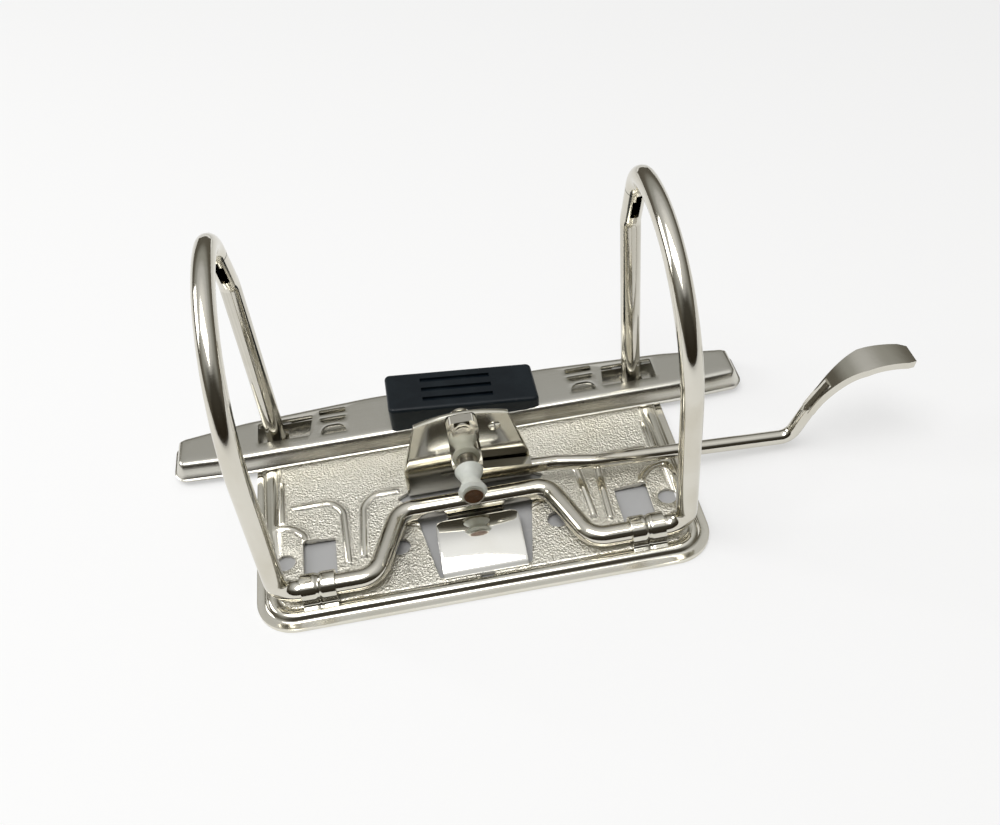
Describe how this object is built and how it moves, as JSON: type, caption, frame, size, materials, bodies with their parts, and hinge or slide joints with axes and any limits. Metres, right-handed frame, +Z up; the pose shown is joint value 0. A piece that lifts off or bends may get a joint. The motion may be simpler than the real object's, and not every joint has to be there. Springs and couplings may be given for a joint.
{
  "type": "lever arch mechanism",
  "caption": "Binder mechanism: a cranked wire with two arches hinged on a stamped plate, closed by a side lever with a roller, with a compressor bar that slides on two posts.",
  "frame": {"origin": "middle of the four mounting holes, on the underside of the base plate", "axes": "+Z up from the plate, +X along the hinge towards the lever's paddle, -Y towards the hinged feet of the arches"},
  "size_m": [0.1537, 0.0604, 0.0636],
  "materials": {
    "plate_nickel": "nickel plated sheet steel, satin",
    "wire_nickel": "nickel plated, polished",
    "spring_steel": "bright spring steel",
    "pin_steel": "bare steel pin",
    "roller_nylon": "white nylon",
    "black_plastic": "black moulded plastic"
  },
  "bodies": {
    "frame": {"base_plate": "plate_nickel", "left_post": "wire_nickel", "right_post": "wire_nickel", "leaf_spring": "spring_steel", "pivot_rivet": "wire_nickel", "pivot_washer": "wire_nickel"},
    "lever": {"lever": "wire_nickel", "roller_pin": "pin_steel"},
    "roller": {"roller": "roller_nylon"},
    "arches": {"arch_wire": "wire_nickel"},
    "bar": {"compressor_bar": "plate_nickel", "grip_pin": "pin_steel"},
    "slide": {"locking_slide": "plate_nickel"},
    "grip": {"grip": "black_plastic"}
  },
  "joints": [
    {"name": "lever_lift", "type": "hinge", "parent": "frame", "child": "lever", "pos_m": [0, -0.01, 0.0202], "axis": [0, -1, 0], "range_deg": [0, 100]},
    {"name": "roller_spin", "type": "hinge", "parent": "lever", "child": "roller", "pos_m": [0, -0.016, 0.0106], "axis": [0, -1, 0], "continuous": true},
    {"name": "arch_open", "type": "hinge", "parent": "frame", "child": "arches", "pos_m": [0, -0.0299, 0.0036], "axis": [1, 0, 0], "range_deg": [0, 43], "deforming": ["leaf_spring"]},
    {"name": "bar_lift", "type": "slide", "parent": "frame", "child": "bar", "axis": [0, 0, 1], "range_m": [0, 0.038]},
    {"name": "grip_lift", "type": "hinge", "parent": "bar", "child": "grip", "pos_m": [0.0157, 0.0145, 0.00365], "axis": [0, 1, 0], "range_deg": [0, 12]},
    {"name": "slide_free", "type": "slide", "parent": "bar", "child": "slide", "axis": [-1, 0, 0], "range_m": [0, 0.00029]}
  ],
  "couplings": [
    {"joint": "arch_open", "follows": "lever_lift", "ratio": 0.43},
    {"joint": "slide_free", "follows": "grip_lift", "m_per_rad": 0.0013846}
  ]
}
